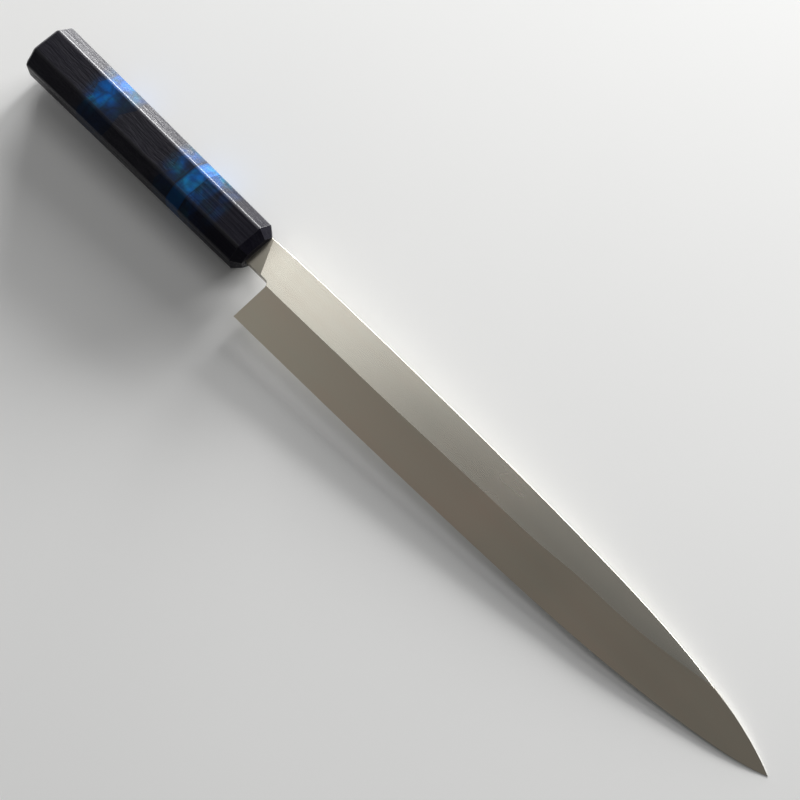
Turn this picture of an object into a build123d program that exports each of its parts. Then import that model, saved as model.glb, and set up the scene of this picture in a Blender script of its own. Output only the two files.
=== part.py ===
from build123d import *
import os

# A single-bevel slicing knife with a glued-up, eight-sided handle. Millimetres.
# +X runs along the knife to its tip, +Y to its spine, +Z out of its bevelled side.
# The knife lies on its left side, and the origin is on the surface that it lies on,
# under the middle of its length and height.

# Blade, measured from the handle's front face and from the handle's axis
blade_reach = 302.5        # to the tip
heel_reach = 14.2          # to the heel of the cutting edge
heel_lean = 0.7            # how much further forward the heel line starts at the neck
blade_height = 37.65       # highest point of the spine down to the heel
spine_height = 10.75       # highest point of the spine above the axis
neck_top = 9.2             # spine above the axis, at the handle
neck_bottom = 6.35         # underside of the neck below the axis
notch_radius = 2.8         # rounding between the neck and the heel line
neck_thickness = 3.8       # spine thickness at the handle
neck_relief = 0.3          # how far the neck's back is set in inside the handle
crest_reach = 265.0        # where the bevel's upper line runs out over the spine
crest_thickness = 1.8      # blade thickness there
spine_thinning = 0.15      # how much thinner the flat is at the spine than at its lower end
bevel_width = 18.8         # width of the ground bevel, from the edge to its upper line
edge_land = 0.12           # flat left at the cutting edge
spine_break = 0.35         # small chamfer between the spine and the upper flat
hollow_radius = 320.0      # radius of the hollow ground into the back
hollow_edge_rim = 2.4      # flat rim left on the back along the cutting edge
hollow_spine_rim = 3.2     # flat rim left on the back along the spine
hollow_start = 5.0         # start of the hollow, ahead of the heel
hollow_start_inset = 9.0   # how much further in its sides are at the start
facet_top = 0.9            # ahead of the handle, where the neck's slanted facet meets the spine
facet_bottom = 9.3         # ahead of the handle, where it meets the neck's underside
facet_fall = 0.8           # how far it falls at the lower corner of the handle's mouth

# Tang, inside the handle
tang_front_height = 11.2
tang_end_height = 5.0
tang_thickness = 2.6

# Handle
handle_length = 140.0
butt_height = 27.4
butt_thickness = 20.8
front_height = 24.6
front_thickness = 18.0
corner_height = 6.7        # height of each slanted corner at the butt
corner_thickness = 5.8     # thickness of each slanted corner at the butt
front_corner_share = 0.88  # the front corners, as a share of the butt's
mouth_chamfer_run = 4.2    # front chamfer, along the handle
mouth_chamfer_depth = 3.5  # front chamfer, into the handle
butt_chamfer = 1.6
ferrule_length = 37.4
ring_length = 7.9
front_resin_length = 9.0   # cloudy resin behind the ring
middle_wood_length = 32.5
rear_resin_length = 18.5
seam_depth = 3.0           # how far the cast seams wander along the handle
seam_lean = 2.5            # how far they lean over the handle's thickness

# Core, inside the handle
mouth_wall = 8.0           # solid front of the ferrule, which the neck passes through
mouth_gap = 0.2            # play between the neck and its slot
neck_clearance = 0.3       # between the neck's shoulders and the dowel
seal_depth = 3.0
butt_wall = 18.2           # solid wood behind the bore
dowel_diameter = 14.0
dowel_gap = 0.1            # glue line round the dowel
dowel_end_gap = 0.3
dowel_root = 11.0          # unslotted rear end of the dowel
glue_film = 0.2            # glue on each side of the tang
tang_end_gap = 2.5         # glue behind the tang

overrun = 3.0              # how far every cutter passes the surface that it cuts

# Blade outline: share of the edge's length from the heel, drop of the spine below its
# highest point and rise of the edge above the heel, both as shares of the blade's height
profile_shares = (
    (0.000, 0.024, 0.000),
    (0.107, 0.007, 0.009),
    (0.235, 0.000, 0.024),
    (0.353, 0.000, 0.045),
    (0.469, 0.007, 0.069),
    (0.582, 0.025, 0.101),
    (0.693, 0.056, 0.147),
    (0.801, 0.118, 0.226),
    (0.907, 0.244, 0.345),
    (0.960, 0.349, 0.432),
    (1.000, 0.4635, 0.5365),
)

# Cast seams: share of the handle's half height, and share of the seam's depth
front_resin_seam_shares = ((-1.2, 0.4), (-0.7, -0.5), (-0.2, 0.6), (0.3, -0.2), (0.7, 0.8), (1.2, -0.4))
middle_seam_shares = ((-1.2, -0.9), (-0.6, -0.1), (-0.1, -0.6), (0.4, 0.7), (0.8, 0.2), (1.2, 0.9))
rear_seam_shares = ((-1.2, 0.5), (-0.8, -0.3), (-0.3, 0.4), (0.2, -0.7), (0.6, 0.2), (1.2, -0.5))

# Places along the handle, behind its front face
ring_rear = ferrule_length + ring_length
front_resin_rear = ring_rear + front_resin_length
middle_wood_rear = front_resin_rear + middle_wood_length
rear_resin_rear = middle_wood_rear + rear_resin_length
bore_rear = handle_length - butt_wall
dowel_rear = bore_rear - dowel_end_gap
slot_rear = dowel_rear - dowel_root
tang_rear = slot_rear - tang_end_gap
neck_rear = mouth_wall - neck_clearance

edge_run = blade_reach - heel_reach
heel_y = spine_height - blade_height
back_z = -neck_thickness / 2


def tapered(front_size, butt_size, x):
    """Size of the handle x ahead of its front face, between its sizes at the two ends."""
    return front_size - (butt_size - front_size) * x / handle_length


# Where the handle's axis meets its front face, in the part's own frame
widest_x = butt_chamfer - handle_length
mouth_x = (handle_length - blade_reach) / 2
axis_y = (-heel_y - tapered(front_height, butt_height, widest_x) / 2) / 2
axis_z = tapered(front_thickness, butt_thickness, widest_x) / 2


def cross_plane(x):
    """Plane across the knife, x ahead of the mouth. Its own axes are height and thickness."""
    return Plane((mouth_x + x, axis_y, axis_z), x_dir=(0, 1, 0), z_dir=(1, 0, 0))


def side_plane(z):
    """Plane along the knife, z above the axis. Its own axes are length and height."""
    return Plane((mouth_x, axis_y, axis_z + z), x_dir=(1, 0, 0), z_dir=(0, 0, 1))


def knife_point(x, y, z):
    """Point in the part's own frame, from its place ahead of, above and beside the mouth's axis."""
    return Vector(mouth_x + x, axis_y + y, axis_z + z)


def outline_face(plane, points):
    """Flat face with straight sides through the points, on the plane."""
    with BuildSketch(plane) as face:
        with BuildLine():
            Polyline(*points, close=True)
        make_face()
    return face.sketch


def station(shares):
    """Place along the knife, spine height and edge height for one row of the outline."""
    along, drop, rise = shares
    return (heel_reach + along * edge_run, spine_height - drop * blade_height, heel_y + rise * blade_height)


stations = [station(row) for row in profile_shares]

# Slopes of the blade's upper flat, along the knife and from its lower end to the spine
taper_slope = (neck_thickness - crest_thickness) / crest_reach
thinning_slope = spine_thinning / (blade_height - bevel_width)


def flat_z(x, y):
    """Height of the blade's upper flat over the axis."""
    return neck_thickness / 2 - taper_slope * x - thinning_slope * (y + neck_bottom)


def bevel_section(x, edge_y):
    """Section of the cutter above the bevel, which rises from the edge to the upper flat."""
    edge_z = back_z + edge_land
    slope = (flat_z(x, edge_y + bevel_width) - edge_z) / bevel_width
    low_y = edge_y - overrun
    high_y = edge_y + bevel_width + overrun
    roof_z = neck_thickness + overrun
    corners = (
        (low_y, edge_z - slope * overrun),
        (high_y, edge_z + slope * (bevel_width + overrun)),
        (high_y, roof_z),
        (low_y, roof_z),
    )
    return outline_face(cross_plane(x), corners)


def hollow_section(x, spine_y, edge_y, inset=0):
    """Section of the cutter for the back's hollow: a shallow arc between the two rims."""
    low_y = edge_y + hollow_edge_rim + inset
    high_y = spine_y - hollow_spine_rim - inset
    width = high_y - low_y
    crown_z = back_z + width**2 / (8 * hollow_radius)
    floor_z = back_z - overrun
    with BuildSketch(cross_plane(x)) as face:
        with BuildLine():
            Polyline((low_y, back_z), (low_y, floor_z), (high_y, floor_z), (high_y, back_z))
            ThreePointArc((low_y, back_z), ((low_y + high_y) / 2, crown_z), (high_y, back_z))
        make_face()
    return face.sketch


def octagon(x):
    """Corners of the handle's section, x ahead of its front face."""
    top = tapered(front_height, butt_height, x) / 2
    side = tapered(front_thickness, butt_thickness, x) / 2
    corner_share = tapered(front_corner_share, 1, x)
    shoulder = top - corner_height * corner_share
    flank = side - corner_thickness * corner_share
    corners = [(top, flank), (shoulder, side)]
    corners += [(-y, z) for y, z in reversed(corners)]
    corners += [(y, -z) for y, z in reversed(corners)]
    return [knife_point(x, y, z) for y, z in corners]


def handle_block(rear_x, front_x):
    """Eight-sided block of the handle between two places along it, with flat facets."""
    return ConvexPolyhedron(octagon(rear_x) + octagon(front_x), mode=Mode.PRIVATE)


def seam_face(x, shares, ahead):
    """Region of the handle's middle plane on one side of a seam at x."""
    far_x = x + handle_length if ahead else x - handle_length
    points = [(x + depth * seam_depth, height * butt_height / 2) for height, depth in shares]
    points += [(far_x, points[-1][1]), (far_x, points[0][1])]
    return outline_face(side_plane(0), points)


def cut_seam(x, shares, ahead):
    """Solid on one side of a cast seam, which leans over the handle's thickness."""
    lean = Vector(seam_lean, 0, butt_thickness)
    return extrude(seam_face(x, shares, ahead), amount=butt_thickness, dir=lean, both=True, mode=Mode.PRIVATE)


def bore(x_from, x_to):
    """Cylinder of the dowel's bore between two places along the handle."""
    with BuildSketch(cross_plane(x_to)) as circle:
        Circle(dowel_diameter / 2 + dowel_gap)
    return extrude(circle.sketch, amount=x_from - x_to, mode=Mode.PRIVATE)


def mouth_slot(gap, depth):
    """Slot round the neck at the handle's mouth, from outside the mouth to the depth."""
    low_y = -neck_bottom - gap
    high_y = neck_top + gap
    half = neck_thickness / 2 + gap
    corners = ((low_y, -half), (high_y, -half), (high_y, half), (low_y, half))
    return extrude(outline_face(cross_plane(-depth), corners), amount=depth + overrun, mode=Mode.PRIVATE)


# The blade: an outlined plate, ground to its flat, its neck facet, its bevel and its hollow
with BuildPart() as blade:
    with BuildSketch(side_plane(back_z)):
        with BuildLine():
            Line((-neck_rear, -neck_bottom), (-neck_rear, neck_top))
            Line((-neck_rear, neck_top), (0, neck_top))
            Spline((0, neck_top), *[(x, spine_y) for x, spine_y, edge_y in stations])
            Spline(*[(x, edge_y) for x, spine_y, edge_y in stations])
            Line((heel_reach, heel_y), (heel_reach + heel_lean, -neck_bottom))
            Line((heel_reach + heel_lean, -neck_bottom), (-neck_rear, -neck_bottom))
        make_face()
        notch = vertices().sort_by_distance((heel_reach + heel_lean, -neck_bottom))[0]
        fillet(notch, radius=notch_radius)
    extrude(amount=neck_thickness + overrun)

    # the upper flat, thinner to the tip and a little thinner at the spine
    flat_start = knife_point(0, -neck_bottom, neck_thickness / 2)
    split(bisect_by=Plane(flat_start, z_dir=(taper_slope, thinning_slope, 1)), keep=Keep.BOTTOM)

    # the slanted facet of the neck, falling from a line across the flat to the mouth's lower corner
    facet_high = knife_point(facet_top, neck_top, flat_z(facet_top, neck_top))
    facet_low = knife_point(facet_bottom, -neck_bottom, flat_z(facet_bottom, -neck_bottom))
    facet_corner = knife_point(0, -neck_bottom, flat_z(0, -neck_bottom) - facet_fall)
    facet_normal = (facet_corner - facet_high).cross(facet_low - facet_high)
    split(bisect_by=Plane(facet_high, z_dir=facet_normal), keep=Keep.BOTTOM)

    # the neck's back, set in where it enters the handle, so that the flat back ends at the mouth
    relief_corners = (
        (-neck_bottom - overrun, back_z - overrun),
        (neck_top + overrun, back_z - overrun),
        (neck_top + overrun, back_z + neck_relief),
        (-neck_bottom - overrun, back_z + neck_relief),
    )
    relief_face = outline_face(cross_plane(mouth_gap), relief_corners)
    extrude(relief_face, amount=-neck_rear - overrun, mode=Mode.SUBTRACT)

    # the bevel and the hollow
    tip_slope = (stations[-1][2] - stations[-2][2]) / (stations[-1][0] - stations[-2][0])
    bevel_rows = [(heel_reach - overrun, heel_y)]
    bevel_rows += [(x, edge_y) for x, spine_y, edge_y in stations]
    bevel_rows += [(blade_reach + overrun, stations[-1][2] + tip_slope * overrun)]
    loft([bevel_section(x, edge_y) for x, edge_y in bevel_rows], mode=Mode.SUBTRACT)
    hollow_sections = [hollow_section(heel_reach + hollow_start, *stations[0][1:], inset=hollow_start_inset)]
    hollow_sections += [hollow_section(*row) for row in stations[1:-1]]
    loft(hollow_sections, mode=Mode.SUBTRACT)

    # the broken corner between the spine and the upper flat
    flat_face = faces().filter_by(GeomType.PLANE).sort_by(SortBy.AREA)[-1]
    chamfer(flat_face.edges().sort_by(Axis.Y)[-1], length=spine_break)

    # the tang
    with BuildSketch(side_plane(-tang_thickness / 2)):
        with BuildLine():
            Polyline(
                (-neck_rear, tang_front_height / 2),
                (-tang_rear, tang_end_height / 2),
                (-tang_rear, -tang_end_height / 2),
                (-neck_rear, -tang_front_height / 2),
                close=True,
            )
        make_face()
    extrude(amount=tang_thickness)
blade.part.label = "blade"

# The outer form of the handle's front end, chamfered at the mouth
with BuildPart() as front_form:
    add(handle_block(-ferrule_length, 0))
    mouth_face = faces().sort_by(Axis.X)[-1]
    chamfer(mouth_face.edges(), length=mouth_chamfer_depth, length2=mouth_chamfer_run, reference=mouth_face)

# The ferrule: that form, slotted for the neck and bored for the dowel
with BuildPart() as ferrule:
    add(front_form.part)
    add(mouth_slot(mouth_gap, mouth_wall), mode=Mode.SUBTRACT)
    add(bore(-mouth_wall, -ferrule_length - overrun), mode=Mode.SUBTRACT)
ferrule.part.label = "ferrule"

# The clear resin ring between the ferrule and the handle's body
with BuildPart() as resin_ring:
    add(handle_block(-ring_rear, -ferrule_length))
    add(bore(-ferrule_length + overrun, -ring_rear - overrun), mode=Mode.SUBTRACT)
resin_ring.part.label = "resin_ring"

# The cloudy resin behind the ring, cast against the wood
with BuildPart() as front_resin:
    add(handle_block(-front_resin_rear - seam_depth - seam_lean, -ring_rear))
    add(cut_seam(-front_resin_rear, front_resin_seam_shares, ahead=False), mode=Mode.SUBTRACT)
    add(bore(-ring_rear + overrun, -middle_wood_rear), mode=Mode.SUBTRACT)
front_resin.part.label = "front_resin"

# The black wood between the two blue places
with BuildPart() as middle_wood:
    add(handle_block(-rear_resin_rear, -ring_rear))
    add(cut_seam(-front_resin_rear, front_resin_seam_shares, ahead=True), mode=Mode.SUBTRACT)
    add(cut_seam(-middle_wood_rear, middle_seam_shares, ahead=False), mode=Mode.SUBTRACT)
    add(bore(-ring_rear + overrun, -rear_resin_rear - overrun), mode=Mode.SUBTRACT)
middle_wood.part.label = "middle_wood"

# The cloudy resin between the middle and the rear wood
with BuildPart() as rear_resin:
    add(handle_block(-handle_length, -ring_rear))
    add(cut_seam(-middle_wood_rear, middle_seam_shares, ahead=True), mode=Mode.SUBTRACT)
    add(cut_seam(-rear_resin_rear, rear_seam_shares, ahead=False), mode=Mode.SUBTRACT)
    add(bore(-ring_rear + overrun, -handle_length), mode=Mode.SUBTRACT)
rear_resin.part.label = "rear_resin"

# The butt block, with a blind bore that ends just behind the dowel
with BuildPart() as rear_wood:
    add(handle_block(-handle_length, -ring_rear))
    butt_face = faces().sort_by(Axis.X)[0]
    chamfer(butt_face.edges(), length=butt_chamfer)
    add(cut_seam(-rear_resin_rear, rear_seam_shares, ahead=True), mode=Mode.SUBTRACT)
    add(bore(-ring_rear + overrun, -bore_rear), mode=Mode.SUBTRACT)
rear_wood.part.label = "rear_wood"

# The dowel that joins the blocks, forked from its front end to take the tang
slot_thickness = tang_thickness + 2 * glue_film
with BuildPart() as tang_dowel:
    with BuildSketch(cross_plane(-dowel_rear)):
        Circle(dowel_diameter / 2)
    extrude(amount=dowel_rear - mouth_wall)
    with BuildSketch(cross_plane(-slot_rear)):
        Rectangle(dowel_diameter + overrun, slot_thickness)
    extrude(amount=slot_rear, mode=Mode.SUBTRACT)
tang_dowel.part.label = "tang_dowel"

# The glue that fills the fork round the tang
with BuildPart() as tang_adhesive:
    with BuildSketch(cross_plane(-slot_rear)):
        Circle(dowel_diameter / 2)
        Rectangle(dowel_diameter + overrun, slot_thickness, mode=Mode.INTERSECT)
    extrude(amount=slot_rear - mouth_wall)
    add(blade.part, mode=Mode.SUBTRACT)
tang_adhesive.part.label = "tang_adhesive"

# The glue that closes the slot round the neck, flush with the ferrule
with BuildPart() as mouth_seal:
    add(mouth_slot(mouth_gap, seal_depth))
    add(front_form.part, mode=Mode.INTERSECT)
    add(blade.part, mode=Mode.SUBTRACT)
mouth_seal.part.label = "mouth_seal"

pieces = {
    "blade": blade,
    "ferrule": ferrule,
    "resin_ring": resin_ring,
    "front_resin": front_resin,
    "middle_wood": middle_wood,
    "rear_resin": rear_resin,
    "rear_wood": rear_wood,
    "tang_dowel": tang_dowel,
    "tang_adhesive": tang_adhesive,
    "mouth_seal": mouth_seal,
}
os.makedirs("parts", exist_ok=True)
for name, piece in pieces.items():
    export_step(piece.part, f"parts/{name}.step")
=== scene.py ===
"""Looks of a single-bevel slicing knife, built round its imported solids.

Everything is in metres. +X runs along the handle's axis to the tip, +Y to the spine and
+Z out of the bevelled side. The knife lies on its left side.
"""

from __future__ import annotations

import logging
import math
from collections.abc import Callable, Iterator
from contextlib import contextmanager
from dataclasses import dataclass, field, replace
from enum import Enum

import bmesh
import bpy
from mathutils import Matrix, Vector

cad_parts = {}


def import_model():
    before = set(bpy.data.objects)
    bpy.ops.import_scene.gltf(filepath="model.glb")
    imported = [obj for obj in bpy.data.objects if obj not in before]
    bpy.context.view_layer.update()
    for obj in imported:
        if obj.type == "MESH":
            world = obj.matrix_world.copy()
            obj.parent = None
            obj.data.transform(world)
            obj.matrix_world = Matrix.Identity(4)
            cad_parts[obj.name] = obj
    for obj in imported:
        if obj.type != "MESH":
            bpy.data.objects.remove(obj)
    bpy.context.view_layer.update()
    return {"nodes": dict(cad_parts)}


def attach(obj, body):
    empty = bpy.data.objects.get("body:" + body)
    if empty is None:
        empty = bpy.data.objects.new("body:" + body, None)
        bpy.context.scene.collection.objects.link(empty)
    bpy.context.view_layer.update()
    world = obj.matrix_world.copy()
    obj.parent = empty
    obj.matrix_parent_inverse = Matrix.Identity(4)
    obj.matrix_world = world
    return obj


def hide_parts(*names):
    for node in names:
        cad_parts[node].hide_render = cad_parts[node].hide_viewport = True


log = logging.getLogger("knife")

Node = bpy.types.Node
Socket = bpy.types.NodeSocket
Material = bpy.types.Material
Piece = bpy.types.Object
Edge = bmesh.types.BMEdge
Range = tuple[float, float]
Colour = tuple[float, float, float]
Stretch = tuple[float, float, float]
Feed = float | Socket

MM = 0.001
MOUTH = Vector((-81.25, 6.608, 10.384)) * MM  # where the handle's axis meets its front face
HANDLE_LENGTH = 140.0 * MM
RING_JOINT = 45.3 * MM  # from the mouth to the joint behind the blue ring
FLOAT, VECTOR, COLOUR = "NodeSocketFloat", "NodeSocketVector", "NodeSocketColor"
NODE_SPACING = 190  # between the columns of a node tree
NOISE_MIDDLE = (0.3, 0.7)  # where most of a noise's values lie


class Lines(Enum):
    """Which way the lines of a grind or a grain run, as lines per metre along X, Y and Z."""

    ALONG = (6.0, 480.0, 480.0)
    ACROSS = (620.0, 9.0, 25.0)
    LAPPED = (420.0, 420.0, 420.0)
    WAVY_GRAIN = (120.0, 1150.0, 1150.0)
    STRAIGHT_GRAIN = (30.0, 1250.0, 1250.0)
    DOWEL_GRAIN = (22.0, 700.0, 700.0)


class Graph:
    """A node tree that is filled from left to right."""

    def __init__(self, tree: bpy.types.NodeTree) -> None:
        """Starts at the left of the tree."""
        self.tree = tree
        self.column = 0

    def add(self, kind: str, **settings: object) -> Node:
        """Adds one node.

        Args:
            kind: the node's type.
            **settings: its properties, by name.

        Returns:
            The node.
        """
        node = self.tree.nodes.new(kind)
        node.location = (self.column, 0)
        self.column += NODE_SPACING
        for name, value in settings.items():
            setattr(node, name, value)
        return node

    def feed(self, value: Feed | tuple[float, ...], socket: Socket) -> None:
        """Links a socket to the input, or sets the input's own value."""
        if isinstance(value, Socket):
            self.tree.links.new(value, socket)
        else:
            socket.default_value = value

    def math(self, operation: str, first: Feed, second: Feed = 0.0) -> Socket:
        """Adds a sum of one or two values and returns its result."""
        node = self.add("ShaderNodeMath", operation=operation)
        self.feed(first, node.inputs[0])
        self.feed(second, node.inputs[1])
        return node.outputs[0]

    def fold(self, operation: str, *values: Socket) -> Socket:
        """Joins values, one after the other, by the same sum and returns the result."""
        result = values[0]
        for value in values[1:]:
            result = self.math(operation, result, value)
        return result

    def vector(self, operation: str, first: Socket, second: Socket | Stretch) -> Socket:
        """Adds a sum of two vectors and returns its result."""
        node = self.add("ShaderNodeVectorMath", operation=operation)
        self.feed(first, node.inputs[0])
        self.feed(second, node.inputs[1])
        return node.outputs[0]

    def scale(self, vector: Socket, factor: Feed) -> Socket:
        """Scales a vector and returns the result."""
        node = self.add("ShaderNodeVectorMath", operation="SCALE")
        self.feed(vector, node.inputs[0])
        self.feed(factor, node.inputs["Scale"])
        return node.outputs[0]

    def spread(self, value: Feed, over: Range, to: Range) -> Socket:
        """Carries a value from one range over to another and returns it."""
        node = self.add("ShaderNodeMapRange", clamp=True)
        names = ("From Min", "From Max", "To Min", "To Max")
        for name, number in zip(names, (*over, *to)):
            node.inputs[name].default_value = number
        self.feed(value, node.inputs["Value"])
        return node.outputs["Result"]

    def blend(self, share: Feed, first: Socket | Colour, second: Socket | Colour) -> Socket:
        """Mixes two colours by a share of the second and returns the mix."""
        node = self.add("ShaderNodeMix", data_type="RGBA", clamp_factor=True)
        self.feed(share, node.inputs[0])
        for colour, socket in ((first, node.inputs[6]), (second, node.inputs[7])):
            self.feed((*colour, 1.0) if isinstance(colour, tuple) else colour, socket)
        return node.outputs[2]

    def noise(self, place: Socket, scale: float, detail: Feed, roughness: float = 0.55) -> Node:
        """Adds a noise at a place and returns its node."""
        node = self.add("ShaderNodeTexNoise")
        self.feed(place, node.inputs["Vector"])
        for name, value in (("Scale", scale), ("Detail", detail), ("Roughness", roughness)):
            self.feed(value, node.inputs[name])
        return node

    def curve(self, value: Socket, levels: tuple[Range, ...]) -> Socket:
        """Carries a value over to a level, eased from place to place, and returns it."""
        node = self.add("ShaderNodeValToRGB")
        ramp = node.color_ramp
        ramp.interpolation = "EASE"
        for place, level in levels:
            ramp.elements.new(place).color = (level, level, level, 1.0)
        for spare in (ramp.elements[0], ramp.elements[-1]):
            spare.color = (0.0, 0.0, 0.0, 1.0)
        self.feed(value, node.inputs["Fac"])
        return node.outputs["Color"]

    def bump(self, height: Socket, strength: float, distance: float) -> Socket:
        """Adds a bump of a height and returns its normal."""
        node = self.add("ShaderNodeBump")
        node.inputs["Strength"].default_value = strength
        node.inputs["Distance"].default_value = distance
        self.feed(height, node.inputs["Height"])
        return node.outputs["Normal"]

    def dress(self, shader: Node, colour: Socket, roughness: Socket, normal: Socket) -> None:
        """Feeds a shader its colour, its roughness and its normal."""
        for name, socket in (("Base Color", colour), ("Roughness", roughness), ("Normal", normal)):
            self.feed(socket, shader.inputs[name])


@dataclass
class SharedLook:
    """A node group that several finishes use, built on first use.

    Attributes:
        name: the group's name.
        inputs: each input's name, with its socket type and value.
        outputs: each output's name, with its socket type.
        fill: draws the group, from its input node to its output node.
    """

    name: str
    inputs: dict[str, tuple[str, object]]
    outputs: dict[str, str]
    fill: Callable[[Graph, Node, Node], None]

    def tree(self) -> bpy.types.NodeTree:
        """Returns the group's tree, and makes it the first time."""
        made = bpy.data.node_groups.get(self.name)
        if made is not None:
            return made
        tree = bpy.data.node_groups.new(self.name, "ShaderNodeTree")
        for name, (kind, value) in self.inputs.items():
            socket = tree.interface.new_socket(name=name, in_out="INPUT", socket_type=kind)
            socket.default_value = value
        for name, kind in self.outputs.items():
            tree.interface.new_socket(name=name, in_out="OUTPUT", socket_type=kind)
        graph = Graph(tree)
        start = graph.add("NodeGroupInput")
        end = tree.nodes.new("NodeGroupOutput")
        self.fill(graph, start, end)
        end.location = (graph.column, 0)
        return tree

    def place(self, graph: Graph, **values: object) -> Node:
        """Puts the group into a material.

        Args:
            graph: the material's graph.
            **values: the group's inputs, with underscores for spaces.

        Returns:
            The group's node.
        """
        node = graph.add("ShaderNodeGroup", node_tree=self.tree())
        for name, value in values.items():
            graph.feed(value, node.inputs[name.replace("_", " ")])
        return node


def draw_surface_lines(graph: Graph, start: Node, end: Node) -> None:
    """Draws fine lines that wander a little, and the soft unevenness of a hand finish."""
    place = graph.add("ShaderNodeTexCoord").outputs["Object"]
    drift = graph.noise(place, scale=42.0, detail=2.0).outputs["Color"]
    centred = graph.vector("SUBTRACT", drift, (0.5, 0.5, 0.5))
    moved = graph.vector("ADD", place, graph.scale(centred, start.outputs["Wander"]))
    stretched = graph.vector("MULTIPLY", moved, start.outputs["Stretch"])
    calmed = graph.vector("MULTIPLY", stretched, (0.35, 0.22, 0.22))
    fine = graph.noise(stretched, scale=1.0, detail=start.outputs["Detail"], roughness=0.62)
    broad = graph.noise(calmed, scale=1.0, detail=2.0, roughness=0.5)
    uneven = graph.noise(place, scale=24.0, detail=3.0, roughness=0.5)
    for name, noise in (("Fine", fine), ("Broad", broad), ("Uneven", uneven)):
        graph.feed(noise.outputs["Fac"], end.inputs[name])


@dataclass(frozen=True)
class BrightSpot:
    """One bright spot of the resin, seen alike from both sides of the handle, in millimetres.

    Attributes:
        behind: its middle behind the mouth.
        above: its middle above the axis.
        full: radius at full strength.
        end: radius where it ends.
        outside: strength outside it.
    """

    behind: float
    above: float
    full: float
    end: float
    outside: float

    def draw(self, graph: Graph, place: Socket) -> Socket:
        """Adds the spot to a graph.

        Args:
            graph: the graph.
            place: Object coordinates, warped a little.

        Returns:
            Its strength, up to one.
        """
        middle = ((MOUTH.x / MM - self.behind) * MM, (MOUTH.y / MM + self.above) * MM, 0.0)
        away = graph.add("ShaderNodeVectorMath", operation="LENGTH")
        offset = graph.vector("SUBTRACT", place, middle)
        graph.feed(graph.vector("MULTIPLY", offset, (1.0, 1.0, 0.0)), away.inputs[0])
        radii = (self.full * MM, self.end * MM)
        return graph.spread(away.outputs["Value"], over=radii, to=(1.0, self.outside))


BRIGHT_SPOTS = (
    BrightSpot(behind=39.8, above=2.6, full=4.3, end=6.2, outside=0.25),
    BrightSpot(behind=51.4, above=2.7, full=3.2, end=6.5, outside=0.25),
    BrightSpot(behind=100.3, above=2.6, full=5.5, end=10.0, outside=0.3),
)

# Shares of the handle's length behind the mouth, with how much of the cloud shows there.
CLOUD_LEVELS = (
    (0.13, 0.0), (0.17, 0.14), (0.2, 0.10), (0.225, 0.6), (0.3, 0.6), (0.33, 0.36), (0.37, 0.6),
    (0.4, 0.16), (0.42, 0.0), (0.6, 0.0), (0.635, 0.30), (0.67, 0.62), (0.7, 0.84), (0.735, 0.74),
    (0.757, 0.36), (0.78, 0.12), (0.8, 0.0),
)
CELLS_PER_METRE = (120.0, 78.0, 90.0)
DEEP_BLUE = (0.003, 0.100, 0.370)
TEAL = (0.008, 0.165, 0.290)


def spots_and_painted_sheen_at(graph: Graph, place: Socket, x: Socket, y: Socket) -> Socket:
    """Adds how brightly the resin shows: full in the spots, and full on the uppermost facets as a
    painted sheen.

    Args:
        graph: the graph to add it to.
        place: Object coordinates.
        x: their X.
        y: their Y.

    Returns:
        The strength, up to one.
    """
    warp = graph.noise(place, scale=260.0, detail=2.0).outputs["Color"]
    warped = graph.vector("ADD", place, graph.scale(warp, 3.0 * MM))
    spots = [spot.draw(graph, warped) for spot in BRIGHT_SPOTS]
    ferrule = graph.spread(x, over=(MOUTH.x - 38.0 * MM, MOUTH.x - 36.5 * MM), to=(0.0, 0.9))
    # painted sheen: the uppermost facets, which catch the light, are given the resin's full
    # brightness
    painted_top_sheen = graph.spread(y, over=(MOUTH.y + 5.0 * MM, MOUTH.y + 7.0 * MM), to=(0.0, 1.0))
    return graph.fold("MAXIMUM", *spots, ferrule, painted_top_sheen)


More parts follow.
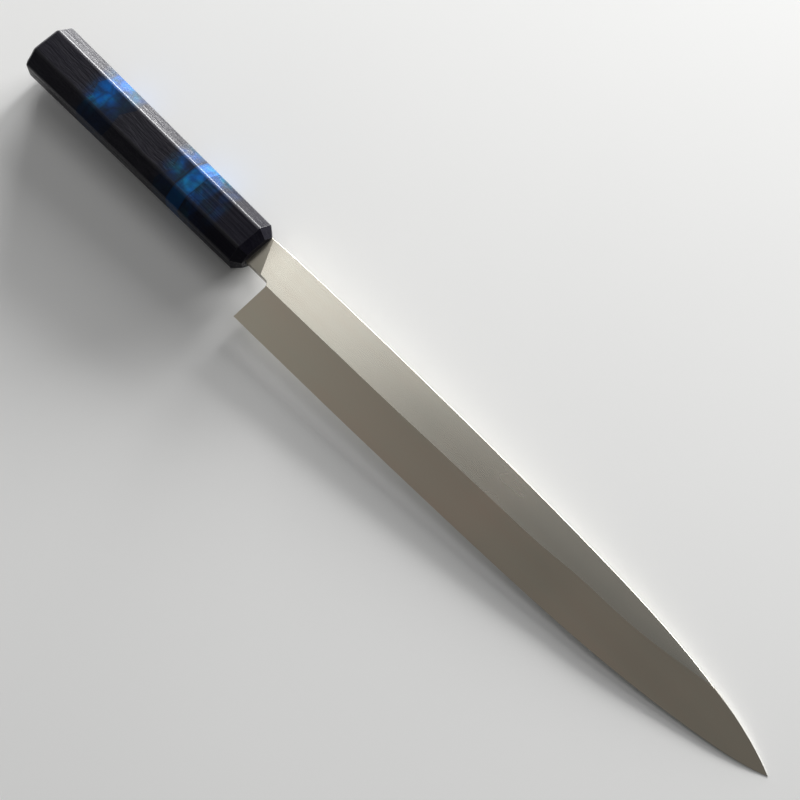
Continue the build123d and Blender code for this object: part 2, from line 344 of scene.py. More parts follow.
def draw_blue_cloud(graph: Graph, start: Node, end: Node) -> None:
    """Draws where the blue resin shows along the handle, and its cloudy, broken colour, dimmed
    towards the lower facets by painted shade.
    """
    place = graph.add("ShaderNodeTexCoord").outputs["Object"]
    parts = graph.add("ShaderNodeSeparateXYZ")
    graph.feed(place, parts.inputs[0])
    x, y = parts.outputs["X"], parts.outputs["Y"]
    behind = graph.math("SUBTRACT", MOUTH.x, x)
    share = graph.math("DIVIDE", behind, HANDLE_LENGTH)
    wave = graph.noise(place, scale=105.0, detail=4.0, roughness=0.6).outputs["Fac"]
    wander = graph.math("MULTIPLY", graph.math("SUBTRACT", wave, 0.5), start.outputs["Wander"])
    level = graph.curve(graph.math("ADD", share, wander), CLOUD_LEVELS)
    slanted = graph.vector("MULTIPLY", place, CELLS_PER_METRE)
    bend = graph.noise(place, scale=90.0, detail=2.0).outputs["Color"]
    cells = graph.add("ShaderNodeTexVoronoi", feature="DISTANCE_TO_EDGE")
    graph.feed(graph.vector("ADD", slanted, bend), cells.inputs["Vector"])
    cells.inputs["Scale"].default_value = 1.0
    inside = graph.spread(cells.outputs["Distance"], over=(0.0, 0.13), to=(0.5, 1.0))
    cloud = graph.noise(place, scale=170.0, detail=4.0, roughness=0.6).outputs["Fac"]
    billow = graph.spread(cloud, over=(0.36, 0.58), to=(0.45, 1.0))
    from_joint = graph.math("ABSOLUTE", graph.math("SUBTRACT", behind, RING_JOINT))
    joint = graph.spread(from_joint, over=(0.25 * MM, 1.1 * MM), to=(0.2, 1.0))
    spots_and_sheen = spots_and_painted_sheen_at(graph, place, x, y)
    # painted shade: the blue dims towards the lower facets, which face away from the light
    waved = graph.math("ADD", y, graph.math("MULTIPLY", cloud, 6.0 * MM))
    painted_shade_below = graph.spread(waved, over=(MOUTH.y - 6.0 * MM, MOUTH.y + 0.5 * MM), to=(0.3, 1.0))
    depth = graph.fold("MULTIPLY", inside, billow, joint, spots_and_sheen, painted_shade_below)
    hue = graph.noise(place, scale=120.0, detail=2.0).outputs["Fac"]
    greener = graph.spread(hue, over=(0.46, 0.66), to=(0.0, 1.0))
    graph.feed(share, end.inputs["Behind Mouth"])
    graph.feed(depth, end.inputs["Depth"])
    graph.feed(graph.math("MULTIPLY", level, depth), end.inputs["Amount"])
    graph.feed(graph.blend(greener, DEEP_BLUE, TEAL), end.inputs["Colour"])


SURFACE_LINES = SharedLook(
    name="surface lines",
    inputs={
        "Stretch": (VECTOR, (10.0, 1000.0, 1000.0)),
        "Wander": (FLOAT, 0.0),
        "Detail": (FLOAT, 2.5),
    },
    outputs={"Fine": FLOAT, "Broad": FLOAT, "Uneven": FLOAT},
    fill=draw_surface_lines,
)

# Amount and Depth carry the painted shade on the lower facets and the painted sheen on the
# uppermost ones
BLUE_CLOUD = SharedLook(
    name="blue cloud",
    inputs={"Wander": (FLOAT, 0.06)},
    outputs={"Amount": FLOAT, "Depth": FLOAT, "Behind Mouth": FLOAT, "Colour": COLOUR},
    fill=draw_blue_cloud,
)


def new_material(name: str) -> tuple[Material, Graph, Node]:
    """Makes a material with one Principled shader.

    Args:
        name: the material's name.

    Returns:
        The material, its graph and its shader.
    """
    material = bpy.data.materials.new(name)
    material.use_nodes = True
    material.node_tree.nodes.clear()
    graph = Graph(material.node_tree)
    shader = graph.add("ShaderNodeBsdfPrincipled")
    output = graph.add("ShaderNodeOutputMaterial")
    graph.feed(shader.outputs["BSDF"], output.inputs["Surface"])
    return material, graph, shader


@dataclass(frozen=True)
class GroundSteel:
    """Plain steel with the lines of its last grind.

    Attributes:
        name: the material's name.
        bright: colour between the lines.
        dull: colour in the lines and in slow, broad patches.
        smooth: lowest roughness.
        rough: highest roughness.
        line_depth: strength of the bump.
        lines: which way the lines run.
        relief: depth of the lines at full strength, in metres.
    """

    name: str
    bright: Colour
    dull: Colour
    smooth: float
    rough: float
    line_depth: float = 0.03
    lines: Lines = Lines.ALONG
    relief: float = 0.02 * MM

    def material(self) -> Material:
        """Returns the finish as a new material."""
        material, graph, shader = new_material(self.name)
        look = SURFACE_LINES.place(graph, Stretch=self.lines.value, Wander=0.0004, Detail=0.0)
        fine, broad, uneven = (look.outputs[name] for name in ("Fine", "Broad", "Uneven"))
        patches = graph.spread(uneven, over=(0.26, 0.74), to=(0.0, 0.6))
        tone = graph.math("MULTIPLY", fine, broad)
        lines = graph.spread(tone, over=(0.04, 0.52), to=(0.3, 0.0))
        colour = graph.blend(graph.math("ADD", patches, lines), self.bright, self.dull)
        wear = graph.math("ADD", broad, uneven)
        roughness = graph.spread(wear, over=(0.7, 1.3), to=(self.smooth, self.rough))
        graph.dress(shader, colour, roughness, graph.bump(fine, self.line_depth, self.relief))
        shader.inputs["Metallic"].default_value = 1.0
        return material


SATIN_FLAT = GroundSteel(
    "satin flat", bright=(0.65, 0.638, 0.56), dull=(0.655, 0.597, 0.51),
    smooth=0.25, rough=0.28, line_depth=0.008,
)
STONED_BEVEL = GroundSteel(
    "stoned bevel", bright=(0.56, 0.53, 0.43), dull=(0.605, 0.495, 0.395), smooth=0.34, rough=0.37
)
FILED_NECK = GroundSteel(
    "filed neck", bright=(0.41, 0.39, 0.33), dull=(0.365, 0.335, 0.28),
    smooth=0.34, rough=0.42, line_depth=0.05, lines=Lines.ACROSS,
)
HONED_RIM = GroundSteel(
    "honed back rim", bright=(0.66, 0.64, 0.58), dull=(0.60, 0.58, 0.52), smooth=0.18, rough=0.26
)
WHEEL_HOLLOW = GroundSteel(
    "wheel-ground hollow", bright=(0.55, 0.53, 0.48), dull=(0.45, 0.43, 0.39),
    smooth=0.33, rough=0.45, line_depth=0.16, lines=Lines.ACROSS,
)
WORN_BREAK = GroundSteel(
    "worn spine break", bright=(0.50, 0.485, 0.44), dull=(0.46, 0.445, 0.40),
    smooth=0.34, rough=0.42,
)
POLISHED_SPINE = GroundSteel(
    "polished spine", bright=(0.72, 0.70, 0.64), dull=(0.66, 0.64, 0.58), smooth=0.30, rough=0.38
)


@dataclass(frozen=True)
class StainedWood:
    """Black stained wood with open grain, which the blue resin has crept into.

    Attributes:
        name: the material's name.
        front: stain near the mouth.
        rear: stain near the butt.
        streak: colour of the paler streaks.
        lines: which way the grain runs.
        wander: how far the grain wanders, in metres.
        creep: share of the blue cloud that shows in the wood.
        smooth: lowest roughness.
        rough: highest roughness.
        gloss: strength of the reflection.
        relief: depth of the grain, in metres.
    """

    name: str
    front: Colour
    rear: Colour
    streak: Colour
    lines: Lines
    wander: float
    creep: float
    smooth: float = 0.2
    rough: float = 0.46
    gloss: float = 0.11
    relief: float = 0.17 * MM

    def material(self) -> Material:
        """Returns the finish as a new material."""
        material, graph, shader = new_material(self.name)
        grain = SURFACE_LINES.place(graph, Stretch=self.lines.value, Wander=self.wander)
        cloud = BLUE_CLOUD.place(graph, Wander=0.075)
        stain = graph.blend(cloud.outputs["Behind Mouth"], self.front, self.rear)
        streaks = graph.spread(grain.outputs["Fine"], over=(0.42, 0.70), to=(0.0, 1.0))
        wood = graph.blend(streaks, stain, self.streak)
        blue = graph.math("MULTIPLY", cloud.outputs["Amount"], self.creep)
        colour = graph.blend(blue, wood, cloud.outputs["Colour"])
        pores = graph.math("ADD", grain.outputs["Fine"], grain.outputs["Broad"])
        roughness = graph.spread(pores, over=(0.75, 1.25), to=(self.rough, self.smooth))
        graph.dress(shader, colour, roughness, graph.bump(pores, 1.0, self.relief))
        shader.inputs["Specular IOR Level"].default_value = self.gloss
        return material


@dataclass(frozen=True)
class CastResin:
    """Blue resin, cloudy where it was poured against the wood.

    Attributes:
        name: the material's name.
        deep: colour of its darkest places.
        clear: share of its own colour that shows everywhere.
        cloudy: share that comes and goes with the cloud.
        smooth: lowest roughness.
        rough: highest roughness.
        gloss: strength of the reflection.
        relief: depth of its scuffs, in metres.
    """

    name: str
    deep: Colour
    clear: float
    cloudy: float
    smooth: float = 0.26
    rough: float = 0.42
    gloss: float = 0.11
    relief: float = 0.04 * MM

    def material(self) -> Material:
        """Returns the finish as a new material."""
        material, graph, shader = new_material(self.name)
        cloud = BLUE_CLOUD.place(graph, Wander=0.05)
        scuffs = SURFACE_LINES.place(graph, Stretch=Lines.WAVY_GRAIN.value, Wander=0.002)
        own = graph.math("MULTIPLY", cloud.outputs["Depth"], self.clear)
        drifting = graph.math("MULTIPLY", cloud.outputs["Amount"], self.cloudy)
        blue = graph.math("ADD", own, drifting)
        colour = graph.blend(blue, self.deep, cloud.outputs["Colour"])
        fine = scuffs.outputs["Fine"]
        roughness = graph.spread(fine, over=NOISE_MIDDLE, to=(self.smooth, self.rough))
        graph.dress(shader, colour, roughness, graph.bump(fine, 0.8, self.relief))
        shader.inputs["Specular IOR Level"].default_value = self.gloss
        return material


@dataclass(frozen=True)
class PlainTimber:
    """Bare straight-grained wood, as the dowel is made of.

    Attributes:
        name: the material's name.
        early: colour of the soft grain.
        late: colour of the hard grain.
    """

    name: str
    early: Colour
    late: Colour

    def material(self) -> Material:
        """Returns the finish as a new material."""
        material, graph, shader = new_material(self.name)
        grain = SURFACE_LINES.place(graph, Stretch=Lines.DOWEL_GRAIN.value, Wander=0.0015)
        streaks = graph.spread(grain.outputs["Broad"], over=(0.35, 0.65), to=(0.0, 1.0))
        colour = graph.blend(streaks, self.early, self.late)
        fine = grain.outputs["Fine"]
        roughness = graph.spread(fine, over=NOISE_MIDDLE, to=(0.55, 0.75))
        graph.dress(shader, colour, roughness, graph.bump(fine, 0.3, 0.05 * MM))
        return material


@dataclass(frozen=True)
class HardGlue:
    """Hardened dark glue with a slightly lumpy skin.

    Attributes:
        name: the material's name.
        dark: colour of its hollows.
        pale: colour of its lumps.
    """

    name: str
    dark: Colour
    pale: Colour

    def material(self) -> Material:
        """Returns the finish as a new material."""
        material, graph, shader = new_material(self.name)
        skin = SURFACE_LINES.place(graph, Stretch=Lines.LAPPED.value, Wander=0.001)
        fine = skin.outputs["Fine"]
        colour = graph.blend(fine, self.dark, self.pale)
        roughness = graph.spread(skin.outputs["Broad"], over=NOISE_MIDDLE, to=(0.4, 0.62))
        graph.dress(shader, colour, roughness, graph.bump(fine, 0.3, 0.08 * MM))
        return material


MERGE_DISTANCE = 0.002 * MM  # points nearer than this are one
CUT_TOLERANCE = 0.001 * MM
LARGE_FACE_WEIGHT = 80  # how much more the large faces count in the shading


def make_active(piece: Piece) -> None:
    """Leaves this object alone selected and active."""
    bpy.ops.object.select_all(action="DESELECT")
    piece.select_set(True)
    bpy.context.view_layer.objects.active = piece


@contextmanager
def edit_mode(piece: Piece) -> Iterator[None]:
    """Keeps a piece in edit mode."""
    make_active(piece)
    bpy.ops.object.mode_set(mode="EDIT")
    yield
    bpy.ops.object.mode_set(mode="OBJECT")


def apply_modifier(piece: Piece, kind: str, **settings: object) -> None:
    """Changes the active piece by a modifier, for good.

    Args:
        piece: the piece.
        kind: the modifier's type.
        **settings: its properties, by name.
    """
    bpy.ops.object.modifier_add(type=kind)
    modifier = piece.modifiers[-1]
    for name, value in settings.items():
        setattr(modifier, name, value)
    bpy.ops.object.modifier_apply(modifier=modifier.name)


def merged_copy(source: Piece, name: str, flatness: float) -> Piece:
    """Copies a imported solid, merges its loose triangles and clears the edges inside flat faces.

    Args:
        source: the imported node's object.
        name: the copy's name.
        flatness: largest angle over an edge that is cleared, in radians.

    Returns:
        The copy.
    """
    piece = bpy.data.objects.new(name, source.data.copy())
    bpy.context.scene.collection.objects.link(piece)
    piece.data.name = name
    piece.data.materials.clear()
    make_active(piece)
    bpy.ops.mesh.customdata_custom_splitnormals_clear()
    with edit_mode(piece):
        bpy.ops.mesh.select_all(action="SELECT")
        bpy.ops.mesh.remove_doubles(threshold=MERGE_DISTANCE)
        bpy.ops.mesh.dissolve_limited(angle_limit=flatness)
    return piece


def round_edges(
    piece: Piece, share: Callable[[Edge], float], width: float, steps: int, slot: int = -1
) -> None:
    """Rounds edges, each by its own share of the full width.

    Args:
        piece: the object.
        share: gives an edge's share, or zero for an edge that stays sharp.
        width: width of the full rounding, in metres.
        steps: how many faces the rounding has.
        slot: material slot of the rounding, or -1 for that of the faces beside it.
    """
    with edit_mode(piece):
        mesh = bmesh.from_edit_mesh(piece.data)
        mesh.normal_update()
        weight = mesh.edges.layers.float.new("bevel_weight_edge")
        for edge in mesh.edges:
            edge[weight] = share(edge) if len(edge.link_faces) == 2 else 0.0
        rounded = sum(edge[weight] > 0.0 for edge in mesh.edges)
        bmesh.update_edit_mesh(piece.data)
    settings = {"width": width, "segments": steps, "material": slot}
    apply_modifier(piece, "BEVEL", limit_method="WEIGHT", **settings)
    log.info("%s: %d edges rounded", piece.name, rounded)


def smooth_over(piece: Piece, angle: float, soft: Callable[[Edge], bool] | None = None) -> None:
    """Shades edges under the angle smooth, and keeps the large flat faces flat.

    Args:
        piece: the object.
        angle: largest angle over an edge that is shaded smooth, in radians.
        soft: picks the sharper edges that are shaded smooth all the same.
    """
    make_active(piece)
    bpy.ops.object.shade_smooth_by_angle(angle=angle)
    if soft is not None:
        with edit_mode(piece):
            for edge in bmesh.from_edit_mesh(piece.data).edges:
                edge.smooth = edge.smooth or (len(edge.link_faces) == 2 and soft(edge))
            bmesh.update_edit_mesh(piece.data)
    apply_modifier(piece, "WEIGHTED_NORMAL", keep_sharp=True, weight=LARGE_FACE_WEIGHT)


def finish_piece(piece: Piece, node: str) -> None:
    """Puts a finished piece in its node's place, on the one body."""
    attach(piece, "root")
    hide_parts(node)
    log.info("%s stands for %s, %d faces", piece.name, node, len(piece.data.polygons))


class Face(Enum):
    """The ground faces of the blade, by the number of their material slot."""

    FLAT = 0
    BEVEL = 1
    NECK = 2
    BACK_RIM = 3
    HOLLOW = 4
    SPINE = 5
    SPINE_BREAK = 6
    LAND = 7
    SIDES = 8


STEEL_FINISHES = (  # in the order of Face
    SATIN_FLAT, STONED_BEVEL, FILED_NECK, HONED_RIM, WHEEL_HOLLOW, POLISHED_SPINE, WORN_BREAK,
    HONED_RIM, FILED_NECK,
)
LONG_FACES = (Face.FLAT, Face.BEVEL, Face.SPINE, Face.SPINE_BREAK, Face.LAND)

# How the ground faces are told apart, by the parts of their normals.
BROAD_Z = 0.9  # the broad faces have more of Z than this
RIM_Z = 0.99999  # and the back's level rim more than this
NARROW_Y = 0.5  # spine and land have more of Y than this
SPINE_Z = 0.3  # the spine has less of Z than this, and its broken corner more
NECK_X = 0.04  # the neck's faces lean to the handle by more than this
BEVEL_Y = 0.05  # the bevel leans to the edge by more than this
LAND_START = 15.0 * MM  # where the edge's land starts, ahead of the mouth
HEEL_REACH = (9.5 * MM, 15.5 * MM)  # where heel line and notch lie, ahead of the mouth
LINE_START = 1.0 * MM  # where the blade's long lines start at the earliest, ahead of the mouth


@dataclass
class LongLine:
    """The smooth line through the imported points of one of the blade's long edges.

    Attributes:
        points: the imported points, put in order of X.
        slopes: how the line runs at each point, per metre of X.
    """

    points: list[Vector]
    slopes: list[Vector] = field(default_factory=list)

    def __post_init__(self) -> None:
        """Finds the slope at each point, from the points beside it."""
        self.points.sort(key=lambda point: point.x)
        pairs = list(zip(self.points, self.points[1:]))
        runs = [after.x - before.x for before, after in pairs]
        chords = [(after - before) / run for (before, after), run in zip(pairs, runs)]
        inner = [
            (chords[n] * runs[n + 1] + chords[n + 1] * runs[n]) / (runs[n] + runs[n + 1])
            for n in range(len(runs) - 1)
        ]
        self.slopes = [2 * chords[0] - inner[0], *inner, 2 * chords[-1] - inner[-1]]

    def at(self, x: float) -> Vector:
        """Finds a point of the line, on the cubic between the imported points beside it.

        Args:
            x: the point's X.

        Returns:
            The point.
        """
        last = len(self.points) - 2
        n = min(max(sum(point.x <= x for point in self.points) - 1, 0), last)
        low, high = self.points[n], self.points[n + 1]
        run = high.x - low.x
        t = (x - low.x) / run
        point = low * (1 + 2 * t) * (1 - t) ** 2 + high * t**2 * (3 - 2 * t)
        bend = self.slopes[n] * t * (1 - t) ** 2 - self.slopes[n + 1] * t**2 * (1 - t)
        return point + bend * run


@dataclass
class Blade:
    """The blade, with each ground face in the finish that its wheel or stone left.

    Attributes:
        nodes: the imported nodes.
        heel_break: width of the corner broken along the heel line.
        heel_steps: how many faces that corner has.
        first_strip: where the strips across the blade start, ahead of the mouth.
        strip_width: width of each strip.
        flatness: largest angle over an edge inside a flat face.
        spare_bend: largest bend at a point that is cleared between two cuts.
        smooth_angle: largest angle over an edge that is shaded smooth.
    """

    nodes: dict[str, Piece]
    heel_break: float = 0.4 * MM
    heel_steps: int = 2
    first_strip: float = 17.5 * MM
    strip_width: float = 2.5 * MM
    flatness: float = math.radians(0.05)
    spare_bend: float = math.radians(3)
    smooth_angle: float = math.radians(3.6)

    def kind_of(self, normal: Vector, ahead: float) -> Face:
        """Says which ground face a polygon belongs to.

        Args:
            normal: the way that the polygon faces.
            ahead: place of its middle ahead of the mouth, in metres.

        Returns:
            The ground face.
        """
        if normal.z < -BROAD_Z:
            return Face.BACK_RIM if normal.z < -RIM_Z else Face.HOLLOW
        if normal.z < BROAD_Z:
            if normal.y > NARROW_Y and ahead > 0.0:
                return Face.SPINE if normal.z < SPINE_Z else Face.SPINE_BREAK
            return Face.LAND if normal.y < -NARROW_Y and ahead > LAND_START else Face.SIDES
        if normal.x < -NECK_X:
            return Face.NECK
        return Face.BEVEL if normal.y < -BEVEL_Y else Face.FLAT

    def number_faces(self, piece: Piece) -> None:
        """Numbers each polygon by its kind."""
        for polygon in piece.data.polygons:
            ahead = polygon.center.x - MOUTH.x
            polygon.material_index = self.kind_of(polygon.normal, ahead).value

    def select_faces(self, piece: Piece, kinds: tuple[Face, ...]) -> None:
        """Selects the faces of these kinds ahead of the mouth, in edit mode."""
        bpy.ops.mesh.select_all(action="DESELECT")
        for face in bmesh.from_edit_mesh(piece.data).faces:
            ahead = face.calc_center_median().x > MOUTH.x
            face.select_set(ahead and Face(face.material_index) in kinds)
        bmesh.update_edit_mesh(piece.data)

    def cut_strips(self, piece: Piece) -> int:
        """Joins each long face into one and cuts it into strips across the knife.

        Args:
            piece: the blade's copy, its faces numbered by kind.

        Returns:
            How many points the copy had before the cuts.
        """
        with edit_mode(piece):
            bpy.ops.mesh.select_mode(type="FACE")
            for kind in LONG_FACES:
                self.select_faces(piece, (kind,))
                bpy.ops.mesh.dissolve_faces(use_verts=False)
        packed_points = len(piece.data.vertices)
        with edit_mode(piece):
            tip = max(corner[0] for corner in piece.bound_box)
            strips = int((tip - MOUTH.x - self.first_strip) / self.strip_width)
            for number in range(strips):
                x = MOUTH.x + self.first_strip + number * self.strip_width
                self.select_faces(piece, LONG_FACES)
                bpy.ops.mesh.bisect(
                    plane_co=(x, 0.0, 0.0), plane_no=(1.0, 0.0, 0.0), threshold=CUT_TOLERANCE
                )
        return packed_points

    def bend_lines(self, piece: Piece, packed_points: int) -> None:
        """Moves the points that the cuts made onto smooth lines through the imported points.

        Args:
            piece: the blade's copy, cut into strips.
            packed_points: how many of its points, from the first, are packed ones.
        """
        lines: dict[frozenset[int], LongLine] = {}
        moved = 0
        with edit_mode(piece):
            mesh = bmesh.from_edit_mesh(piece.data)
            mesh.verts.ensure_lookup_table()
            kinds = [{face.material_index for face in vertex.link_faces} for vertex in mesh.verts]
            for number in range(packed_points, len(mesh.verts)):
                pair = frozenset(kinds[number])
                if len(pair) != 2:
                    continue
                if pair not in lines:
                    on_line = (mesh.verts[n] for n in range(packed_points) if pair <= kinds[n])
                    packed = (vertex.co.copy() for vertex in on_line)
                    start = MOUTH.x + LINE_START
                    lines[pair] = LongLine([point for point in packed if point.x > start])
                mesh.verts[number].co = lines[pair].at(mesh.verts[number].co.x)
                moved += 1
            bmesh.update_edit_mesh(piece.data)
        log.info("long lines: %d points moved", moved)

    def is_spare(self, vertex: bmesh.types.BMVert) -> bool:
        """Says whether a point lies between two cuts on a long line and bends it hardly at all."""
        if len(vertex.link_edges) != 2 or vertex.co.x < MOUTH.x + self.first_strip:
            return False
        on_line = any(Face(face.material_index) in LONG_FACES for face in vertex.link_faces)
        return on_line and vertex.calc_edge_angle(math.pi) < self.spare_bend

    def clear_lines(self, piece: Piece) -> None:
        """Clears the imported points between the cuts, which would fold the triangles beside them.

        Args:
            piece: the blade's copy, its lines bent.
        """
        with edit_mode(piece):
            bpy.ops.mesh.select_mode(type="VERT")
            bpy.ops.mesh.select_all(action="DESELECT")
            mesh = bmesh.from_edit_mesh(piece.data)
            spare = [vertex for vertex in mesh.verts if self.is_spare(vertex)]
            for vertex in spare:
                vertex.select_set(True)
            bmesh.update_edit_mesh(piece.data)
            if spare:
                bpy.ops.mesh.dissolve_verts()
        log.info("long lines: %d spare points cleared", len(spare))

    def on_heel_line(self, edge: Edge) -> bool:
        """Says whether an edge is the upper corner of the heel line or of the notch."""
        painted_shade_below = max(edge.link_faces, key=lambda face: face.normal.z)
        side = min(edge.link_faces, key=lambda face: face.normal.z)
        ahead = (edge.verts[0].co.x + edge.verts[1].co.x) / 2 - MOUTH.x
        near_heel = HEEL_REACH[0] < ahead < HEEL_REACH[1]
        return near_heel and painted_shade_below.normal.z > BROAD_Z and abs(side.normal.z) < SPINE_Z

    def on_spine_break(self, edge: Edge) -> bool:
        """Says whether an edge bounds the spine's corner, which use has rounded up to the bevel."""
        kinds = {Face(face.material_index) for face in edge.link_faces}
        return Face.SPINE_BREAK in kinds and Face.BEVEL not in kinds

    def build(self) -> None:
        """Builds the blade and dresses it."""
        piece = merged_copy(self.nodes["blade"], "ground_blade", self.flatness)
        made = {finish: finish.material() for finish in dict.fromkeys(STEEL_FINISHES)}
        for finish in STEEL_FINISHES:
            piece.data.materials.append(made[finish])
        self.number_faces(piece)
        packed_points = self.cut_strips(piece)
        self.bend_lines(piece, packed_points)
        self.clear_lines(piece)
        round_edges(piece, self.on_heel_line, self.heel_break, self.heel_steps)
        smooth_over(piece, self.smooth_angle, self.on_spine_break)
        finish_piece(piece, "blade")


# How the handle's outer faces and corners are told from its joints and bores.
OUTER_OFFSET = 4.0 * MM  # the facets lie farther out from the axis than this
OUTER_X = 0.75  # and facets and chamfers have less of X than this in their normals
END_X = 0.99  # the ends have more of X than this
END_GAP = 0.05 * MM  # and lie this near to the mouth or the butt
LONG_X = 0.3  # the long facets have less of X than this
LEAST_CORNER = math.radians(12)


BODY_WOOD = StainedWood(
    "wavy black wood", front=(0.009, 0.0085, 0.013), rear=(0.016, 0.0155, 0.021),
    streak=(0.025, 0.024, 0.030), lines=Lines.WAVY_GRAIN, wander=0.0035, creep=0.62,
)
FERRULE_WOOD = StainedWood(
    "straight black wood", front=(0.005, 0.0045, 0.009), rear=(0.009, 0.0085, 0.014),
    streak=(0.012, 0.0115, 0.017), lines=Lines.STRAIGHT_GRAIN, wander=0.0006, creep=0.85,
    gloss=0.08, relief=0.1 * MM,
)
CLEAR_RESIN = CastResin("clear blue resin", deep=(0.004, 0.027, 0.085), clear=1.0, cloudy=0.1)
CLOUDY_RESIN = CastResin("cloudy blue resin", deep=(0.009, 0.011, 0.020), clear=0.04, cloudy=1.0)
HAND_POLISH = {"smooth": 0.26, "rough": 0.38, "gloss": 0.32, "relief": 0.0}

HANDLE_BLOCKS = (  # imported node, name, slot and finish, from the mouth to the butt
    ("ferrule", "ferrule_block", "black_wood", FERRULE_WOOD),
    ("resin_ring", "resin_band", "blue_resin", CLEAR_RESIN),
    ("front_resin", "front_resin_block", "cloudy_resin", CLOUDY_RESIN),
    ("middle_wood", "middle_wood_block", "black_wood", BODY_WOOD),
    ("rear_resin", "rear_resin_block", "cloudy_resin", CLOUDY_RESIN),
    ("rear_wood", "butt_block", "black_wood", BODY_WOOD),
)


def finish_pair(finish: StainedWood | CastResin) -> tuple[Material, Material]:
    """Returns the finish of a block's facets and that of its corners, polished by the hand."""
    corner = replace(finish, name=f"{finish.name} corner", **HAND_POLISH)
    return finish.material(), corner.material()


@dataclass
class Handle:
    """The eight-sided handle: wood and resin blocks that meet without a step.

    Attributes:
        nodes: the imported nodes.
        arris_round: width of the rounding on the long corners.
        end_share: width of the rounding at the butt, as a share of that.
        mouth_share: the same for the rounding at the mouth.
        mouth_reach: how far behind the mouth its corners lie at most.
        arris_steps: how many faces that rounding has.
        flatness: largest angle over an edge inside a flat face.
        smooth_angle: largest angle over an edge that is shaded smooth.
    """

    nodes: dict[str, Piece]
    arris_round: float = 0.95 * MM
    end_share: float = 0.35
    mouth_share: float = 0.08
    mouth_reach: float = 6.0 * MM
    arris_steps: int = 4
    flatness: float = math.radians(0.3)
    smooth_angle: float = math.radians(32)

    def offset(self, face: bmesh.types.BMFace) -> float:
        """Returns how far out from the axis a face lies, or less than nothing inside a bore."""
        centre = face.calc_center_median() - MOUTH
        return centre.y * face.normal.y + centre.z * face.normal.z

    def is_outer(self, face: bmesh.types.BMFace) -> bool:
        """Says whether a face is on the handle's outside, and not in a joint or a bore."""
        if self.offset(face) > OUTER_OFFSET:
            return abs(face.normal.x) < OUTER_X
        behind = MOUTH.x - face.calc_center_median().x
        at_end = min(abs(behind), abs(behind - HANDLE_LENGTH)) < END_GAP
        return at_end and abs(face.normal.x) > END_X

    def rounding(self, edge: Edge) -> float:
        """Finds how far a corner is rounded.

        Args:
            edge: an edge of one of the blocks.

        Returns:
            Its share of the full rounding, or zero for an edge inside the handle.
        """
        outer = all(self.is_outer(face) for face in edge.link_faces)
        if not outer or edge.calc_face_angle() < LEAST_CORNER:
            return 0.0
        if all(abs(face.normal.x) < LONG_X for face in edge.link_faces):
            return 1.0
        at_mouth = all(MOUTH.x - point.co.x < self.mouth_reach for point in edge.verts)
        return self.mouth_share if at_mouth else self.end_share

    def build(self) -> None:
        """Builds the six blocks, each with the finish of its facets and that of its corners."""
        finishes = (BODY_WOOD, CLOUDY_RESIN, FERRULE_WOOD, CLEAR_RESIN)
        pairs = {finish: finish_pair(finish) for finish in finishes}
        for node, name, slot, finish in HANDLE_BLOCKS:
            piece = merged_copy(self.nodes[node], name, self.flatness)
            for material in pairs[finish]:
                piece.data.materials.append(material)
            round_edges(piece, self.rounding, self.arris_round, self.arris_steps, slot=1)
            smooth_over(piece, self.smooth_angle)
            finish_piece(piece, node)


CORE_FINISHES = {
    "tang_dowel": PlainTimber("dowel wood", early=(0.60, 0.44, 0.27), late=(0.42, 0.28, 0.15)),
    "tang_adhesive": HardGlue("glue bed", dark=(0.055, 0.045, 0.034), pale=(0.10, 0.085, 0.065)),
    "mouth_seal": HardGlue("mouth glue", dark=(0.012, 0.011, 0.012), pale=(0.035, 0.032, 0.033)),
}


@dataclass
class Core:
    """What the handle holds inside, and the glue at its mouth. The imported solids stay.

    Attributes:
        nodes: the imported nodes.
    """

    nodes: dict[str, Piece]

    def build(self) -> None:
        """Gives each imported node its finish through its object's material slot."""
        for node, finish in CORE_FINISHES.items():
            material = finish.material()
            self.nodes[node].material_slots[0].material = material
            log.info("%s dressed in %s", node, material.name)


@dataclass(frozen=True)
class TableView:
    """The photograph's view of the table, with places as right, up the picture and height.

    Attributes:
        turn: angle from the picture's right down to the knife's +X.
        tilt: how far the camera leans from straight above, towards the picture's foot.
        distance: from the camera to the middle of the picture.
        mouth_right: place of the handle's mouth, to the right of the middle.
        mouth_up: place of the handle's mouth, up from the middle.
        lens: focal length, in millimetres.
        sensor: width of the picture that it is meant for, in millimetres.
        clip: nearest and farthest that the camera sees.
    """

    turn: float = math.radians(46.07)
    tilt: float = math.radians(19.54)
    distance: float = 699.0 * MM
    mouth_right: float = -61.8 * MM
    mouth_up: float = 67.6 * MM
    lens: float = 75.0
    sensor: float = 36.0
    clip: Range = (0.01, 20.0)

    def direction(self, right: float, up: float, height: float) -> Vector:
        """Turns a direction on the table into one in the knife's frame."""
        along = right * math.cos(self.turn) - up * math.sin(self.turn)
        across = right * math.sin(self.turn) + up * math.cos(self.turn)
        return Vector((along, across, height))

    def place(self, right: float, up: float, height: float) -> Vector:
        """Turns a place on the table into one in the knife's frame."""
        return MOUTH + self.direction(right - self.mouth_right, up - self.mouth_up, height)

    def make_camera(self) -> None:
        """Makes the scene's camera."""
        data = bpy.data.cameras.new("camera")
        data.lens = self.lens
        data.sensor_width = self.sensor
        data.clip_start, data.clip_end = self.clip
        camera = bpy.data.objects.new("camera", data)
        bpy.context.scene.collection.objects.link(camera)
        right = self.direction(1.0, 0.0, 0.0)
        up = self.direction(0.0, math.cos(self.tilt), math.sin(self.tilt))
        back = self.direction(0.0, -math.sin(self.tilt), math.cos(self.tilt))
        turned = Matrix((right, up, back)).transposed().to_4x4()
        middle = self.place(0.0, 0.0, 0.0)
        camera.matrix_world = Matrix.Translation(middle + back * self.distance) @ turned
        bpy.context.scene.camera = camera


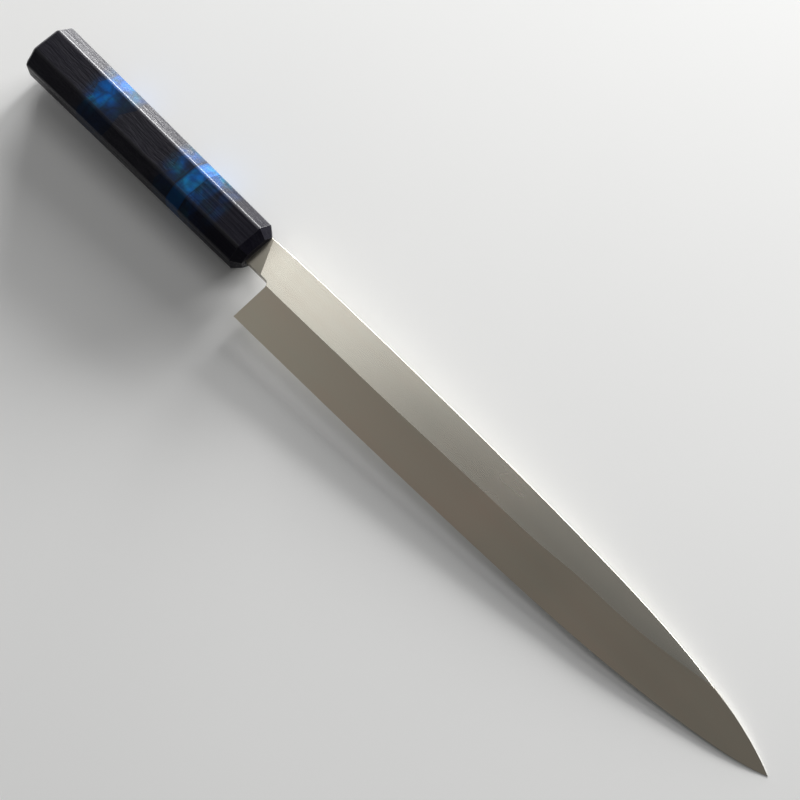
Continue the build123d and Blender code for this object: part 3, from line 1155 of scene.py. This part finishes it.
@dataclass(frozen=True)
class SoftBox:
    """One soft studio light.

    Attributes:
        name: the light's name.
        right: place on the table, to the right of the picture's middle.
        up: place on the table, up the picture.
        height: above the knife.
        width: of the box, across the way that it faces.
        depth: of the box.
        power: in watts.
        level: whether it faces straight down, and not at the knife.
    """

    name: str
    right: float
    up: float
    height: float
    width: float
    depth: float
    power: float
    level: bool = False

    def build(self, view: TableView) -> None:
        """Makes the light, placed by the photograph's view."""
        data = bpy.data.lights.new(self.name, "AREA")
        data.shape = "RECTANGLE"
        data.size = self.width
        data.size_y = self.depth
        data.energy = self.power
        light = bpy.data.objects.new(self.name, data)
        bpy.context.scene.collection.objects.link(light)
        place = view.place(self.right, self.up, self.height)
        back = (place - view.place(0.0, 0.0, 0.0)).normalized()
        if self.level:
            back = Vector((0.0, 0.0, 1.0))
        upward = back.cross(view.direction(1.0, 0.0, 0.0)).normalized()
        turned = Matrix((upward.cross(back), upward, back)).transposed().to_4x4()
        light.matrix_world = Matrix.Translation(place) @ turned


@dataclass
class Studio:
    """The plain pale floor, the soft light and the camera.

    The knife lies on the ferrule's front edge and on its tip, so the floor meets both.

    Attributes:
        view: the photograph's view.
        front_rest: place ahead of the origin and height of the ferrule's resting edge.
        tip_rest: place ahead of the origin and height of the resting tip.
        floor_size: side of the floor.
        floor_colour: its colour.
        floor_shade: brightness of its darker patches, as a share of that.
        floor_roughness: how dull it is.
        ambient: strength of the even light in the room.
        boxes: the lights.
    """

    view: TableView = TableView()
    front_rest: Range = (-85.45 * MM, 1.342 * MM)
    tip_rest: Range = (221.25 * MM, 8.484 * MM)
    floor_size: float = 5.0
    floor_colour: Colour = (0.86, 0.86, 0.85)
    floor_shade: float = 0.97
    floor_roughness: float = 0.8
    ambient: float = 0.115
    boxes: tuple[SoftBox, ...] = (  # name, right, up, height, width, depth and power
        SoftBox("overhead softbox", 0.36, 1.17, 1.3, 1.1, 1.0, 5.0, level=True),
        SoftBox("heel softbox", -0.15, 0.63, 1.3, 0.32, 0.3, 0.42, level=True),
        SoftBox("left softbox", -0.73, 0.2, 1.2, 0.6, 0.7, 0.62, level=True),
        SoftBox("low back softbox", 0.48, 2.6, 0.31, 1.1, 0.5, 100.0),
        SoftBox("ridge softbox", 1.15, 1.95, 0.8, 0.5, 0.7, 24.0),
        SoftBox("low side softbox", 1.85, 1.75, 0.36, 1.4, 0.5, 125.0),
    )

    def floor_material(self) -> Material:
        """Returns the floor's pale, slightly mottled finish."""
        material, graph, shader = new_material("pale floor")
        look = SURFACE_LINES.place(graph, Stretch=(6.0, 6.0, 6.0), Wander=0.0)
        darker = tuple(self.floor_shade * part for part in self.floor_colour)
        colour = graph.blend(look.outputs["Fine"], self.floor_colour, darker)
        graph.feed(colour, shader.inputs["Base Color"])
        shader.inputs["Roughness"].default_value = self.floor_roughness
        return material

    def make_floor(self) -> None:
        """Makes the floor, which falls with the line from the tip to the ferrule."""
        bpy.ops.object.select_all(action="DESELECT")
        bpy.ops.mesh.primitive_plane_add(size=self.floor_size)
        floor = bpy.context.active_object
        floor.name = "studio_floor"
        run = self.tip_rest[0] - self.front_rest[0]
        slope = (self.tip_rest[1] - self.front_rest[1]) / run
        level = self.front_rest[1] - slope * self.front_rest[0]
        for vertex in floor.data.vertices:
            vertex.co.z = level + slope * vertex.co.x
        floor.data.materials.append(self.floor_material())

    def make_ambient(self) -> None:
        """Fills the room with even, dim light."""
        world = bpy.data.worlds.new("room")
        world.use_nodes = True
        background = world.node_tree.nodes["Background"]
        background.inputs["Color"].default_value = (1.0, 1.0, 1.0, 1.0)
        background.inputs["Strength"].default_value = self.ambient
        bpy.context.scene.world = world
        bpy.context.scene.view_settings.view_transform = "Standard"

    def build(self) -> None:
        """Makes the floor, the room's light, the softboxes and the camera."""
        self.make_floor()
        self.make_ambient()
        for box in self.boxes:
            box.build(self.view)
        self.view.make_camera()
        log.info("studio ready, %d softboxes", len(self.boxes))


def main() -> None:
    """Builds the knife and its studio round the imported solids."""
    logging.basicConfig(level=logging.INFO, format="%(name)s: %(message)s")
    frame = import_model()
    Blade(frame["nodes"]).build()
    Handle(frame["nodes"]).build()
    Core(frame["nodes"]).build()
    Studio().build()
    bpy.context.view_layer.update()


if __name__ == "__main__":
    main()
